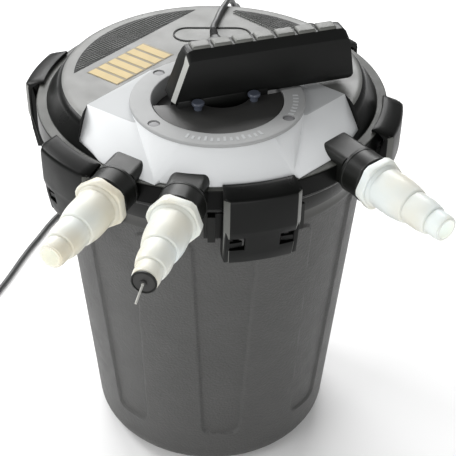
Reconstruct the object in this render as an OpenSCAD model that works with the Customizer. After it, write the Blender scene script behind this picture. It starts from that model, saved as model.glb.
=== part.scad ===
// Pressurised pond filter: a tapered vessel closed by a latched lid, with a rotary valve,
// three hose ports, filter media, a UV-C lamp and a mains lead.
// Millimetres, +Z up, origin under the vessel's axis on the ground. The valve lies towards -Y.
// An azimuth is measured from -Y towards +X.

/* [Vessel] */
// Outer radius of the vessel just above the base rounding
base_r = 135; // [125:1:140]
// Outer radius of the vessel at the seam
rim_r = 166.5; // [160:0.5:167]
// Height of the seam between vessel and lid
seam_z = 395; // [385:1:397]
// Radius of the rounding around the base
base_fillet = 27; // [15:1:35]
// Wall thickness of the vessel
wall = 4; // [3:0.5:5]
// Number of moulded flutes around the vessel
flute_count = 8; // [4:1:12]
// Width of one flute in degrees
flute_w = 20; // [10:1:26]
// Depth of the flutes
flute_d = 2; // [1:0.5:2.5]

/* [Lid] */
// Outer radius of the lid's flange
flange_r = 180; // [178:1:182]
// Height of the flange's upper face
flange_z = 417; // [415:1:418]
// Height of the lid's flat top
lid_z = 441; // [440:1:443]
// Radius of the flat part of the lid
lid_flat_r = 147; // [140:1:150]
// Turn of the lid's moulded pattern, in degrees
pattern_turn = -5; // [-10:1:10]

/* [Valve] */
// Distance of the valve's axis in front of the vessel's axis
valve_y = 64; // [62:1:66]
// Outer radius of the ring around the dial
ring_r = 86; // [84:1:88]
// Height of the ring
ring_z = 447; // [446:1:448]
// Radius of the dial
dial_r = 64.5; // [63:0.5:65]
// Rest direction of the handle, in degrees from +X
handle_turn = 13; // [0:1:20]
// Length of the handle's long side from the valve's axis
handle_long = 140; // [120:1:144]
// Length of the handle's short side from the valve's axis
handle_short = 47; // [30:1:48]
// Height of the handle's top
handle_z = 504; // [480:1:520]

/* [Ports] */
// Height of the port axes
port_z = 409; // [408:1:410]
// Radius of the union nuts
nut_r = 23.5; // [22:0.5:24]
// Radius of the 40 mm hose step
hose_40_r = 20; // [19.5:0.25:20.5]
// Radius of the 32 mm hose step
hose_32_r = 16; // [15.5:0.25:16.5]
// Radius of the 25 mm hose step
hose_25_r = 12.5; // [12:0.25:13]

/* [Latches] */
// Azimuth of the front latch
latch_az = 9.5; // [8:0.5:11]
// Half the width of a latch in degrees
latch_half = 11.2; // [10:0.2:11.4]
// Height of a latch's lower edge
latch_bottom = 339; // [338:1:342]

/* [Cord] */
// Diameter of the mains lead
cord_d = 6.5; // [6:0.5:7]

/* [Hidden] */
$fn = 96;

// clearances: between fixed pieces and in turning fits
gap = 0.2;
fit = 0.06;

// vessel
base_flat_r = base_r - base_fillet;
flute_z0 = 56;
flute_z1 = 343;
collar_z = 353;
rim_flange_r = 176;
function vessel_r(z) = base_r + (rim_r - base_r) * (z - base_fillet) / (seam_z - base_fillet);
function arc(cx, cz, r, a0, a1, n) =
    [for (i = [0 : n]) let (a = a0 + (a1 - a0) * i / n) [cx + r * cos(a), cz + r * sin(a)]];

// latches
// the last latch stands a little further round, clear of the left port's nut
latch_azimuths = [for (k = [0 : 5]) latch_az + 60 * k - (k == 5 ? 2 : 0)];
pivot_r = 176;
pivot_z = 347;
pin_r = 2.5;
pin_half = 33;
lug_x = 22;

// ports, from the left one to the right one: place of the hexagon's middle and direction
port_pos = [[-117, -179.5], [-51.7, -212], [142, -169]];
port_az = [-30, -20, 31];
// how far each duct and each bore reach back from the hexagon's middle
duct_back = [135, 135, 150];
bore_back = [125, 130, 130];
duct_w = 38;
duct_top = 426;
duct_bottom = seam_z + 3;
seat_z = flange_z;
bore_r = 8.5;
spigot_r = 17.5;
hex_r = 25.6;
hex_turn = [-25, -12, 5];
tail_bore_r = 9;
tail_end = 88;

// valve housing
hub_r = 72;
well_r = 65;
well_z = 423;
chamber_r = 60;
shaft_r = 8;
button_pos = [[-24, -13], [33, -13]];
button_r = 4;
screw_angles = [45, 135, 213.5, 326.5];
screw_ring_r = 77;

// lamp and media
gland_pos = [8, 34];
lamp_pos = [8, 46];
lamp_flange_r = 23.4;
inlet_pos = [0, -valve_y];
media_r = 124;

// mains lead: points of the stretch that isn't coiled
cord_r = cord_d / 2;
cord_path = [
    [8, 74, 447.7], [9, 88, 446], [14, 105, 445], [20, 125, 445], [27, 143, 445], [32, 156, 443],
    [37, 166, 437], [41, 176, 427], [45, 184, 422], [49, 191, 410], [51, 194, 385],
    [51, 194, 320], [50, 194, 240], [49, 195, 160], [47, 197, 90], [44, 201, 50],
    [40, 208, 24], [34, 220, 9], [25, 237, 4], [12, 258, 4], [-5, 285, 4], [-25, 315, 4],
    [-50, 346, 4], [-80, 375, 4], [-115, 396, 4], [-148, 402, 4], [-175, 391, 4],
    [-193, 372, 4], [-207, 348, 4], [-220, 320, 4], [-233, 293, 4], [-246, 263, 4],
    [-260, 228, 4], [-275, 195, 4], [-288, 170, 4], [-297, 148, 4], [-301, 130, 4],
    [-302, 115, 4]];
coil_pos = [-351, 112];
coil_r = 39;

module at_az(a) { rotate([0, 0, a]) children(); }

// Ring segment around the vessel's axis from a profile of [radius, height] points
module segment(half, profile) {
    rotate([0, 0, -90 - half]) rotate_extrude(angle = 2 * half) polygon(profile);
}

// Frame of port i: +Z runs out along the port, +Y stays up
module port_frame(i) {
    translate([port_pos[i][0], port_pos[i][1], port_z]) rotate([0, 0, port_az[i]])
        rotate([90, 0, 0]) children();
}

// Frame of the valve, with +X along the handle
module valve_frame() { translate([0, -valve_y, 0]) rotate([0, 0, handle_turn]) children(); }

// Cylinder between two heights
module post(r, z0, z1) { translate([0, 0, z0]) cylinder(h = z1 - z0, r = r); }

module ring(r_out, r_in, z0, z1) {
    difference() {
        post(r_out, z0, z1);
        post(r_in, z0 - 1, z1 + 1);
    }
}

// ---------- vessel ----------
module vessel() {
    inner_fillet = base_fillet - wall;
    color("#5c5c5a") difference() {
        rotate_extrude() polygon(concat(
            [[0, 3], [84, 3], [87, 0]],
            arc(base_flat_r, base_fillet, base_fillet, -90, 0, 8),
            [[vessel_r(seam_z - 9), seam_z - 9], [rim_flange_r - 2, seam_z - 6],
             [rim_flange_r, seam_z - 4], [rim_flange_r, seam_z], [rim_r - wall, seam_z]],
            arc(base_flat_r, base_fillet, inner_fillet, 0, -90, 8),
            [[0, wall]]));
        // groove under the collar, joined to the flutes
        rotate_extrude() polygon(flute_profile(flute_z1, collar_z, 1.4, 5));
        for (i = [0 : flute_count - 1]) at_az(i * 360 / flute_count)
            segment(flute_w / 2, flute_profile(flute_z0, flute_z1 + 6, flute_d, 3));
        rotate_extrude() translate([(rim_r - wall + rim_flange_r) / 2, seam_z]) circle(r = 2.6);
    }
}
function flute_profile(z0, z1, depth, over) = [[vessel_r(z0) - depth, z0],
    [vessel_r(z0) + over, z0], [vessel_r(z1) + over, z1], [vessel_r(z1) - depth, z1]];

module rim_collar() {
    top = seam_z - 9.5;
    color("#2b2c2a") rotate_extrude() polygon([
        [vessel_r(collar_z) + 0.1, collar_z], [vessel_r(collar_z) + 2.2, collar_z],
        [vessel_r(collar_z) + 3.2, collar_z + 1.5], [vessel_r(collar_z) + 2.4, collar_z + 4],
        [vessel_r(top) + 2.4, top], [vessel_r(top) + 0.1, top]]);
}

// Fixed brackets on the collar that carry the latch pins
module latch_brackets() {
    color("#1f201e") for (a = latch_azimuths) at_az(a) difference() {
        union() {
            segment(17, [[160, 355], [169.5, 355], [169.5, 384], [160, 384]]);
            for (s = [-1, 1]) at_az(14.5 * s)
                segment(1.2, [[160, 355], [176, 355], [176, 384], [160, 384]]);
            for (s = [-1, 1]) translate([s * lug_x - 3, -pivot_r - 4.5, pivot_z - 4])
                cube([6, 20, 37]);
        }
        // follows the collar; stands clear of the vessel below it
        rotate_extrude() polygon([[0, 300], [169, 300], [169, collar_z + 4],
            [vessel_r(collar_z + 4) + 2.5, collar_z + 4], [vessel_r(400) + 2.5, 400], [0, 400]]);
        for (s = [-1, 1]) translate([s * lug_x - 4, -pivot_r - 5, pivot_z + 6])
            rotate([-20, 0, 0]) translate([0, -12, 0]) cube([8, 12, 60]);
        pin_hole(pin_r);
    }
}
module pin_hole(r) {
    translate([-50, -pivot_r, pivot_z]) rotate([0, 90, 0]) cylinder(h = 100, r = r);
}

module latch_pins() {
    color("silver") for (a = latch_azimuths) at_az(a)
        translate([-pin_half, -pivot_r, pivot_z]) rotate([0, 90, 0])
            cylinder(h = 2 * pin_half, r = pin_r);
}

// One latch: a curved shell with two side walls, hooked over the lid's flange
module latch(k) {
    top = flange_z + 4;
    color("#262725") at_az(latch_azimuths[k]) difference() {
        union() {
            segment(latch_half, [[175, flange_z + 1], [175, top - 1], [176, top], [192, top],
                [196, top - 3.5], [196.5, 400], [196, 378], [194, 371], [190, 350],
                [187, latch_bottom], [183.5, latch_bottom], [186, 350], [190.5, 374],
                [191, 400], [190, flange_z + 1]]);
            for (s = [-1, 1]) intersection() {
                translate([s * 33.5 - 2.5, -220, 300]) cube([5, 60, 200]);
                segment(latch_half, [[pivot_r - 5, pivot_z - 5], [187, latch_bottom + 1],
                    [192, 375], [192, flange_z + 2], [185, flange_z + 2], [183, 380],
                    [pivot_r - 5, pivot_z + 8]]);
            }
            // bearing tubes on the pin, outside the bracket's lugs
            for (s = [-1, 1]) translate([s > 0 ? 25.6 : -35.6, -pivot_r, pivot_z])
                rotate([0, 90, 0]) cylinder(h = 10, r = 5);
        }
        pin_hole(pin_r + fit);
        // two finger slots in the lower part
        for (s = [-1, 1]) translate([s * 25 - 8, -210, 356]) cube([16, 26, 15]);
    }
}

// ---------- lid ----------
function lid_outline() = concat([[0, lid_z]], arc(lid_flat_r, lid_z - 12, 12, 90, 15, 6),
    [[flange_r - 12, flange_z], [flange_r - 2, flange_z], [flange_r, flange_z - 2]]);

module lid_solid(extra) {
    rotate_extrude() polygon(concat([for (p = lid_outline()) [p[0], p[1] + extra]],
        [[flange_r, seam_z], [0, seam_z]]));
}

module lid() {
    color("#3a3b39") difference() {
        lid_solid(0);
        difference() {
            rotate_extrude() polygon([[0, seam_z - 1], [162, seam_z - 1], [162, flange_z - 5],
                [152, lid_z - 12], [145, lid_z - 5], [0, lid_z - 5]]);
            // floor under the valve cover
            translate([-134, -170, seat_z - 5]) cube([268, 204, 40]);
        }
        // joint with the vessel's rim
        rotate_extrude() polygon([[161, seam_z - 1], [rim_flange_r + gap, seam_z - 1],
            [rim_flange_r + gap, seam_z + 0.1], [161, seam_z + 0.1]]);
        rotate_extrude() translate([(rim_r - wall + rim_flange_r) / 2, seam_z]) circle(r = 2.6);
        cover_solid(40);
        translate([0, -valve_y, 0]) post(hub_r + gap, seam_z - 2, lid_z + 1);
        for (i = [0 : 2]) duct_cut(i);
        // seat of the lamp holder
        translate(lamp_pos) {
            post(20 + gap, lid_z - 8, lid_z + 1);
            post(lamp_flange_r + gap, lid_z - 14.2, lid_z - 5);
            post(18 + gap, seam_z, lid_z - 8);
        }
    }
}
module duct_cut(i) {
    port_frame(i) translate([-duct_w / 2 - gap, duct_bottom - gap - port_z, -duct_back[i] - gap])
        cube([duct_w + 2 * gap, duct_top + 2 * gap - duct_bottom, duct_back[i]]);
}

module lid_seal() {
    color("#101010") rotate_extrude()
        translate([(rim_r - wall + rim_flange_r) / 2, seam_z + 0.05]) circle(r = 2.5);
}

// Slab on the lid's flat, cut off by a chord; normal azimuth a, distance d from the axis
module vent_slab(a, d, h) {
    translate([0, 0, lid_z + 0.01]) intersection() {
        cylinder(h = h, r = lid_flat_r - 6);
        rotate([0, 0, a]) translate([d, -200, 0]) cube([200, 400, h]);
    }
}
module vent_panels() {
    color("#7b7d7c") rotate([0, 0, pattern_turn]) {
        vent_slab(140, 104, 0.8);
        difference() {
            vent_slab(46, 108, 0.8);
            translate([-60, 100, lid_z - 1]) cube([80, 100, 5]);
        }
    }
}

module label_plate() {
    color("#d8c79c") translate([0, 0, lid_z + 0.01]) linear_extrude(0.8)
        polygon([[-127, 7], [-67, 66], [-37, 46], [-97, -21]]);
}

module badge_plate() {
    color("#8d8d8a") rotate([0, 0, pattern_turn]) translate([0, 80, lid_z + 0.01])
        linear_extrude(1) difference() {
            badge_shape(42, 16);
            badge_shape(40, 14);
        }
}
module badge_shape(half_w, half_h) {
    square([2 * (half_w - half_h), 2 * half_h], center = true);
    for (s = [-1, 1]) translate([s * (half_w - half_h), 0]) circle(r = half_h);
}

// ---------- valve ----------
// Wing beside the ring: its flat lies level with the lid, its front slopes to the flange.
// A rise above zero carries the shape upwards, for cutting the lid to the cover's outline.
module cover_wing(s, rise) {
    hull() {
        translate([0, 0, lid_z - 1]) linear_extrude(1.4 + rise)
            polygon([[s * 127, -57], [s * 84, -94], [0, -100], [0, 22], [s * 63, 6]]);
        translate([0, 0, flange_z]) linear_extrude(1 + rise)
            polygon([[s * 137, -92], [s * 114, -127], [s * 67, -166], [0, -120], [s * 90, -50]]);
    }
}
module cover_drum(rise) {
    hull() {
        translate([0, -valve_y, ring_z - 4]) cylinder(h = 1 + rise, r = ring_r, $fn = 64);
        translate([0, 0, flange_z]) linear_extrude(1 + rise)
            polygon(concat([for (a = [-23 : 4.4 : 21.1]) [174 * sin(a), -174 * cos(a)]],
                [[60, -90], [-60, -90]]));
    }
}
module cover_solid(rise = 0) {
    cover_wing(-1, rise);
    cover_wing(1, rise);
    cover_drum(rise);
    translate([0, -valve_y, 0]) post(hub_r + 12, flange_z, lid_z + 0.4 + rise);
}
module valve_cover() {
    color("#d3d5d7") difference() {
        cover_solid();
        translate([0, -valve_y, 0]) post(hub_r + 0.1, 400, 460);
        for (i = [0 : 2]) duct_cut(i);
    }
}

// Ring round the dial, with a sleeve that lines the well
module dial_ring() {
    color("#c3c5c7") difference() {
        translate([0, -valve_y, 0]) rotate_extrude() polygon([[well_r, well_z],
            [hub_r, well_z], [hub_r, ring_z - 3], [ring_r, ring_z - 3], [ring_r, ring_z - 1],
            [ring_r - 1, ring_z], [well_r, ring_z]]);
        for (a = screw_angles) at_screw(a) post(6, ring_z - 2.5, ring_z + 1);
        for (i = [0 : 2]) duct_cut(i);
    }
}
module at_screw(a) {
    translate([0, -valve_y, 0]) rotate([0, 0, a]) translate([screw_ring_r, 0, 0]) children();
}

module cover_screws() {
    color("#8a8a8c") for (a = screw_angles) at_screw(a) difference() {
        post(5.4, ring_z - 2.49, ring_z - 1);
        translate([-4, -0.6, ring_z - 1.8]) cube([8, 1.2, 2]);
    }
}

// Upright outline of a duct: flat sides and a rounded top
module duct_shape(w, z0, z1, r) {
    translate([-w / 2, z0]) square([w, z1 - z0 - r]);
    translate([-w / 2 + r, z0]) square([w - 2 * r, z1 - z0]);
    for (s = [-1, 1]) translate([s * (w / 2 - r), z1 - r]) circle(r = r);
}

module valve_body() {
    color("#232422") difference() {
        union() {
            translate([0, -valve_y, 0]) post(hub_r, duct_bottom, well_z);
            for (i = [0 : 2]) port_frame(i) {
                translate([0, 0, -duct_back[i]]) linear_extrude(duct_back[i] - 32)
                    duct_shape(duct_w, duct_bottom + 0.5 - port_z, duct_top - port_z, 7);
                translate([0, 0, -33]) cylinder(h = 20, r = spigot_r);
            }
        }
        translate([0, -valve_y, 0]) {
            post(well_r, well_z, lid_z);
            post(chamber_r, duct_bottom + 2, well_z - 4);
            post(shaft_r + fit, duct_bottom - 1, lid_z);
        }
        for (i = [0 : 2]) port_frame(i)
            translate([0, 0, -bore_back[i]]) cylinder(h = bore_back[i], r = bore_r);
        // the right port's bore misses the chamber, so a cross passage joins them
        port_frame(2) translate([0, 0, -115]) rotate([0, -90, 0]) cylinder(h = 30, r = bore_r - 1);
    }
}

module dial() {
    plate_z = well_z + 0.4;
    color("#383836") valve_frame() difference() {
        union() {
            post(dial_r, plate_z, plate_z + 4);
            // raised front half that carries the buttons
            intersection() {
                post(dial_r, plate_z, ring_z - 1);
                translate([0, 0, plate_z]) linear_extrude(40) polygon([[-80, -80], [80, -80],
                    [80, -6], [-42, -6], [-42, 2], [-80, 11]]);
            }
            post(shaft_r, duct_bottom + 1, plate_z + 1);
        }
        for (p = button_pos) translate(p) post(button_r + fit, ring_z - 12, ring_z);
        // finger recess in front of the blade
        translate([7.5, 11, 0]) post(29.5, plate_z + 4, ring_z);
    }
}

// Blade of the handle: a bevel along its top and a facet on its front left corner
module handle() {
    foot = ring_z + 2.5;
    top = handle_z - 2.5;
    color("#1d1e1c") valve_frame() {
        hull() {
            handle_corner(-handle_short + 7, foot + 2, 2, -6, 20);
            handle_corner(-handle_short + 2, foot + 2, 2, 1, 22);
            handle_corner(handle_long - 5, foot + 5, 5, -6, 22);
            handle_corner(-handle_short + 25, top - 14, 6, -5.5, 18);
            handle_corner(-handle_short + 19, top - 14, 6, 1, 20);
            handle_corner(handle_long - 11, top - 14, 6, -5.5, 20);
            handle_corner(-handle_short + 23, top - 8, 8, 2, 17);
            handle_corner(handle_long - 14, top - 8, 8, 2, 17);
        }
        // root that stands on the dial's plate
        translate([-handle_short + 5, -6, well_z + 4.4])
            cube([handle_short + 45, 27, foot + 3 - well_z - 4.4]);
    }
}
module handle_corner(x, z, r, y0, y1) {
    translate([x, y1, z]) rotate([90, 0, 0]) cylinder(h = y1 - y0, r = r, $fn = 32);
}

module handle_grips() {
    color("#5b5c58") valve_frame() for (i = [0 : 6])
        translate([-24 + 21.4 * i, 2.5, handle_z - 2.5]) cube([18, 13.5, 3]);
}

module valve_rotor() {
    color("#3c3d3b") valve_frame() difference() {
        post(chamber_r - 0.5, duct_bottom + 2.5, well_z - 4.5);
        post(shaft_r, 390, 430);
        // passage that joins two ports
        translate([0, -45, 409]) rotate([0, 90, 0]) cylinder(h = 140, r = 8, center = true);
    }
}

module lock_button(i) {
    color("#5c5f66") valve_frame() translate(button_pos[i]) {
        post(button_r, ring_z - 8, ring_z + 4);
        post(6.2, ring_z + 3.5, ring_z + 7.5);
    }
}
module lock_button_left() { lock_button(0); }
module lock_button_right() { lock_button(1); }

// ---------- ports ----------
module port_gaskets() {
    color("#151515") for (i = [0 : 2]) port_frame(i) ring(17.2, bore_r, -13, -11);
}

module union_nut(i) {
    color("#30312e") port_frame(i) difference() {
        rotate_extrude() polygon([[spigot_r + fit, -31], [nut_r - 1.5, -31], [nut_r - 0.5, -30],
            [nut_r - 0.5, -27], [nut_r - 1, -26.5], [nut_r - 0.8, -9.5], [nut_r, -9],
            [nut_r, -6.5], [nut_r - 1, -5.5], [16.2, -5.5], [16.2, -7.7],
            [spigot_r + fit, -7.7]]);
        // shallow grip grooves
        for (k = [0 : 11]) rotate([0, 0, 30 * k]) translate([nut_r + 1, 0, -25])
            cylinder(h = 14, r = 2);
    }
}
module nut_left() { union_nut(0); }
module nut_middle() { union_nut(1); }
module nut_right() { union_nut(2); }

// Hose tail with a hexagon and three steps, each rounded down towards its outer end
module hose_tail(i) {
    color("#e4e3da") port_frame(i) difference() {
        union() {
            post(17, -11, -8);
            post(15.9, -8, -4);
            intersection() {
                post(hex_r, -5, 4);
                translate([0, 0, -5]) rotate([0, 0, hex_turn[i]])
                    cylinder(h = 9, r = hex_r + 1.6, $fn = 6);
            }
            rotate_extrude() polygon(concat([[0, 3.9], [21.5, 3.9], [20.5, 6]],
                hose_step(hose_40_r, 8, 17.5, 45.5, 2.8), hose_step(hose_32_r, 46, 12.5, 71.5, 2),
                hose_step(hose_25_r, 72, 10, tail_end, 0.8), [[0, tail_end]]));
        }
        post(tail_bore_r, -12, tail_end + 1);
    }
}
// Profile of one step: a straight seat of a given length from t0, then a nose down to t1
function hose_step(r, t0, seat, t1, nose) = [[r, t0], [r, t0 + seat],
    [r - 0.3 * nose, (t0 + seat + t1) / 2], [r - nose, t1]];
module tail_left() { hose_tail(0); }
module tail_middle() { hose_tail(1); }
module tail_right() { hose_tail(2); }

module end_plug() {
    color("#2e2f2c") port_frame(1) difference() {
        union() {
            post(11.6, tail_end, tail_end + 2.5);
            post(tail_bore_r, tail_end - 16, tail_end + 0.5);
        }
        ring(10.6, 9.4, tail_end + 1.5, tail_end + 3);
    }
}
module plug_pull() {
    color("#b9b9b4") port_frame(1) translate([0, 0, tail_end + 2.5]) {
        translate([-1, -1, 0]) cube([2, 2, 3]);
        translate([0, 0, 0.5]) rotate([20, 0, -6]) cylinder(h = 20, r = 1, $fn = 24);
    }
}

// ---------- lamp ----------
module lamp_holder() {
    color("#2c2d2a") translate(lamp_pos) difference() {
        union() {
            post(20, lid_z - 8, lid_z);
            post(lamp_flange_r, lid_z - 14, lid_z - 5.2);
            post(18, 400, lid_z - 13);
        }
        post(14.1, 399, 425);
    }
}
module sleeve_seal() {
    color("#141414") translate(lamp_pos) rotate_extrude() translate([16, 398.6]) circle(r = 1.4);
}
module quartz_sleeve() {
    color("#dfe8ee", 0.5) translate(lamp_pos) difference() {
        union() {
            post(14, 110, 424.9);
            translate([0, 0, 110]) sphere(r = 14);
        }
        post(12.4, 110, 426);
        translate([0, 0, 110]) sphere(r = 12.4);
    }
}
module uvc_lamp() {
    color("#eef0f2") translate(lamp_pos) {
        for (s = [-1, 1]) translate([5.5 * s, 0, 0]) post(4.5, 120, 400);
        post(11, 400, 424.8);
    }
}
module lamp_guard() {
    color("#30312f") translate(lamp_pos) difference() {
        ring(26, 23.5, 150, 385);
        for (k = [0 : 7], z = [170 : 26 : 365]) translate([0, 0, z]) rotate([0, 0, 45 * k])
            rotate([0, 90, 0]) cylinder(h = 40, r = 5, $fn = 24);
    }
}

// ---------- media ----------
module inlet_tube() {
    color("#3a3b39") translate(inlet_pos) ring(16, 13.5, 32, duct_bottom - 0.1);
}
module foam_disc(z0, z1) {
    difference() {
        post(media_r, z0, z1);
        translate(lamp_pos) post(26.5, z0 - 1, z1 + 1);
        translate(inlet_pos) post(16.5, z0 - 1, z1 + 1);
    }
}
module foam_coarse() { color("#2c5f8c") for (z = [150, 205]) foam_disc(z, z + 54); }
module foam_fine() { color("#a8433a") for (z = [260, 315]) foam_disc(z, z + 54); }

module media_basket() {
    color("#43443f") difference() {
        union() {
            ring(112, 109.5, 38, 146);
            foam_plate(112, 34, 38);
        }
        translate(inlet_pos) post(16.5, 30, 160);
        for (k = [0 : 23]) rotate([0, 0, 15 * k]) translate([105, -5, 50]) cube([20, 10, 84]);
    }
}
module foam_plate(r, z0, z1) {
    difference() {
        post(r, z0, z1);
        for (k = [0 : 11]) rotate([0, 0, 30 * k]) translate([92, 0, z0 - 1])
            cylinder(h = z1 - z0 + 2, r = 8);
    }
}
module media_balls() {
    ball_r = 15;
    color("#3d3e3c") {
        // the place of the inlet tube stays free
        for (z = [54, 85, 116], k = [0 : 15]) if (k != 12) rotate([0, 0, 22.5 * k])
            translate([92, 0, z]) sphere(r = ball_r, $fn = 24);
        for (z = [54, 82], k = [0 : 4]) rotate([0, 0, 40 + 25 * k]) translate([55, 0, z])
            sphere(r = 11, $fn = 24);
    }
}
module base_grid() {
    color("#30312e") difference() {
        union() {
            foam_plate(105, 26, 30);
            for (k = [0 : 5]) rotate([0, 0, 60 * k + 15]) translate([75, 0, 0])
                post(6, wall + 0.05, 27);
        }
        translate(inlet_pos) post(16.5, 20, 40);
    }
}

// ---------- mains lead ----------
module cable_gland() {
    color("#2a2b29") translate(gland_pos) {
        intersection() {
            post(12, lid_z, lid_z + 15);
            translate([-20, -20, lid_z]) cube([40, 32, 15]);
        }
        translate([0, 18, lid_z + 7.5]) rotate([90, 0, 0]) cylinder(h = 14, r = 7);
    }
}
module strain_relief() {
    color("#1c1c1b") translate([gland_pos[0], gland_pos[1] + 18.2, lid_z + 7.5])
        rotate([-92, 0, 0]) cylinder(h = 25, r1 = 5, r2 = cord_r + 0.4);
}

// Tube along a list of points: a ring of points square to the path at each one
function unit(v) = v / norm(v);
function ring_points(path, i, r, n) = let (
    a = path[max(i - 1, 0)], b = path[min(i + 1, len(path) - 1)], t = unit(b - a),
    ref = abs(t[2]) > 0.8 ? [1, 0, 0] : [0, 0, 1], u = unit(cross(t, ref)), v = cross(u, t))
    [for (k = [0 : n - 1]) path[i] + r * (cos(360 * k / n) * u + sin(360 * k / n) * v)];
module tube(path, r, n) {
    rings = len(path);
    points = [for (i = [0 : rings - 1]) each ring_points(path, i, r, n)];
    sides = [for (i = [0 : rings - 2], k = [0 : n - 1])
        [i * n + k, i * n + (k + 1) % n, (i + 1) * n + (k + 1) % n, (i + 1) * n + k]];
    polyhedron(points, concat(sides, [[for (k = [n - 1 : -1 : 0]) k]],
        [[for (k = [0 : n - 1]) (rings - 1) * n + k]]));
}
module cord() { color("#3b3c3c") tube(cord_path, cord_r, 8); }

module cord_coil() {
    color("#3b3c3c") translate([coil_pos[0], coil_pos[1], 1.5]) rotate_extrude()
        polygon([for (p = [[-13, 4], [-9, 0], [9, 0], [13, 4], [13, 22], [9, 26], [-9, 26],
            [-13, 22]]) [coil_r + p[0], p[1]]]);
}
module cord_end() {
    color("#3b3c3c") translate([coil_pos[0] - coil_r - cord_r, coil_pos[1] + 6, 24.3])
        rotate([-97, 0, 0]) cylinder(h = 58, r = cord_r, $fn = 24);
}
module coil_tie() {
    color("#111111") translate([coil_pos[0], coil_pos[1] + coil_r, 14.5]) rotate([0, 90, 0])
        difference() {
            translate([0, 0, -5]) linear_extrude(10) square([29, 30], center = true);
            translate([0, 0, -6]) linear_extrude(12) square([26.4, 27.4], center = true);
        }
}
module mains_plug() {
    x = coil_pos[0] - coil_r - cord_r;
    y = coil_pos[1] + 62;
    color("#161616") translate([x, y, 17]) {
        rotate([-90, 0, 0]) cylinder(h = 22, r1 = 5, r2 = 9.5);
        translate([0, 21, 0]) rotate([-90, 0, 0]) cylinder(h = 24, r = 17);
    }
    color("silver") for (s = [-1, 1]) translate([x + 9.5 * s, y + 44, 17]) rotate([-90, 0, 0])
        cylinder(h = 19, r = 2.4);
}

vessel();
rim_collar();
latch_brackets();
latch_pins();
lid();
lid_seal();
vent_panels();
label_plate();
badge_plate();
valve_cover();
dial_ring();
cover_screws();
valve_body();
dial();
handle();
handle_grips();
valve_rotor();
lock_button_left();
lock_button_right();
port_gaskets();
nut_left();
nut_middle();
nut_right();
tail_left();
tail_middle();
tail_right();
end_plug();
plug_pull();
latch(0);  // latch_1
latch(1);  // latch_2
latch(2);  // latch_3
latch(3);  // latch_4
latch(4);  // latch_5
latch(5);  // latch_6
lamp_holder();
sleeve_seal();
quartz_sleeve();
uvc_lamp();
lamp_guard();
inlet_tube();
foam_coarse();
foam_fine();
media_basket();
media_balls();
base_grid();
cable_gland();
strain_relief();
cord();
cord_coil();
cord_end();
coil_tie();
mains_plug();
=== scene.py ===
"""Looks of the pressurised pond filter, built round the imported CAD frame.

Lengths below are in millimetres in the CAD frame and become metres when a mesh is made.
An azimuth is measured from -Y towards +X, as in the CAD.
"""
import math
import bmesh
import bpy
from mathutils import Matrix, Vector


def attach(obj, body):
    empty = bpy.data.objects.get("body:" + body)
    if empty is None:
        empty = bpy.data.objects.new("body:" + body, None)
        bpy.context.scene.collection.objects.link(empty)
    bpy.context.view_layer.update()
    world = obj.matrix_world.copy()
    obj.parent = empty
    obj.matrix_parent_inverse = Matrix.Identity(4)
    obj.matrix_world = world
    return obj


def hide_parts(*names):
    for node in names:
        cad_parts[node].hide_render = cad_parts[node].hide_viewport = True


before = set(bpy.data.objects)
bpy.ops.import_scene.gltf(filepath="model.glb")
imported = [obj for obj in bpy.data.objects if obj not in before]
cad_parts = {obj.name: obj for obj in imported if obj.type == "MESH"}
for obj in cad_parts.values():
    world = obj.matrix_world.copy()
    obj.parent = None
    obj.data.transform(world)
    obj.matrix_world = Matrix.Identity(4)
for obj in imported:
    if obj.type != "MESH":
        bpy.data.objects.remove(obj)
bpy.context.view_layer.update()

MM = 0.001
SCENE = bpy.context.scene
ROOT = "housing"

# ---------- driving dimensions ----------
SEAM_Z = 395.0
FLANGE_R, FLANGE_Z = 180.0, 417.0
LID_Z, LID_FLAT_R = 441.0, 147.0
VALVE_Y = -64.0
RING_R, RING_Z, WELL_R = 86.0, 447.0, 65.0
DIAL_R, DIAL_Z = 64.5, 427.4
HANDLE_TURN = 13.0
HANDLE_LONG, HANDLE_SHORT, HANDLE_Z = 140.0, 47.0, 504.0
PORT_Z = 409.0
PORTS = {"left": ((-117.0, -179.5), -30.0), "middle": ((-51.7, -212.0), -20.0),
         "right": ((142.0, -169.0), 31.0)}
LATCH_AZ = [9.5, 69.5, 129.5, 189.5, 249.5, 307.5]
LATCH_HALF = 11.2
COLLAR_Z = 353.0
FLUTE_Z0 = 56.0
HEX_TURN = {"left": -25.0, "middle": -12.0, "right": 5.0}
PATTERN_TURN = -5.0
LAMP_POS, LAMP_SEAT_R = (8.0, 46.0), 20.3
FLUTE_DEPTH = 2.8
COVER_BACK_R, COVER_BORE_R = 84, 71.9
SCREW_ANGLES, SCREW_RING_R = (45, 135, 213.5, 326.5), 77
RECESS_POS, RECESS_R = (7.5, 11.0), 29.5
BUTTON_X, BUTTON_Y = (-24, 33), -13
GRIP_COUNT, GRIP_START, GRIP_PITCH, GRIP_WIDTH = 7, -24, 21.4, 18
HEX_ROUND_R = 25.6
CORD_R = 3.25


# ---------- materials ----------
def linear(hex_colour):
    """A #rrggbb colour as linear RGBA."""
    out = []
    for i in (1, 3, 5):
        c = int(hex_colour[i:i + 2], 16) / 255
        out.append(c / 12.92 if c <= 0.04045 else ((c + 0.055) / 1.055) ** 2.4)
    return (*out, 1.0)


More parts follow.
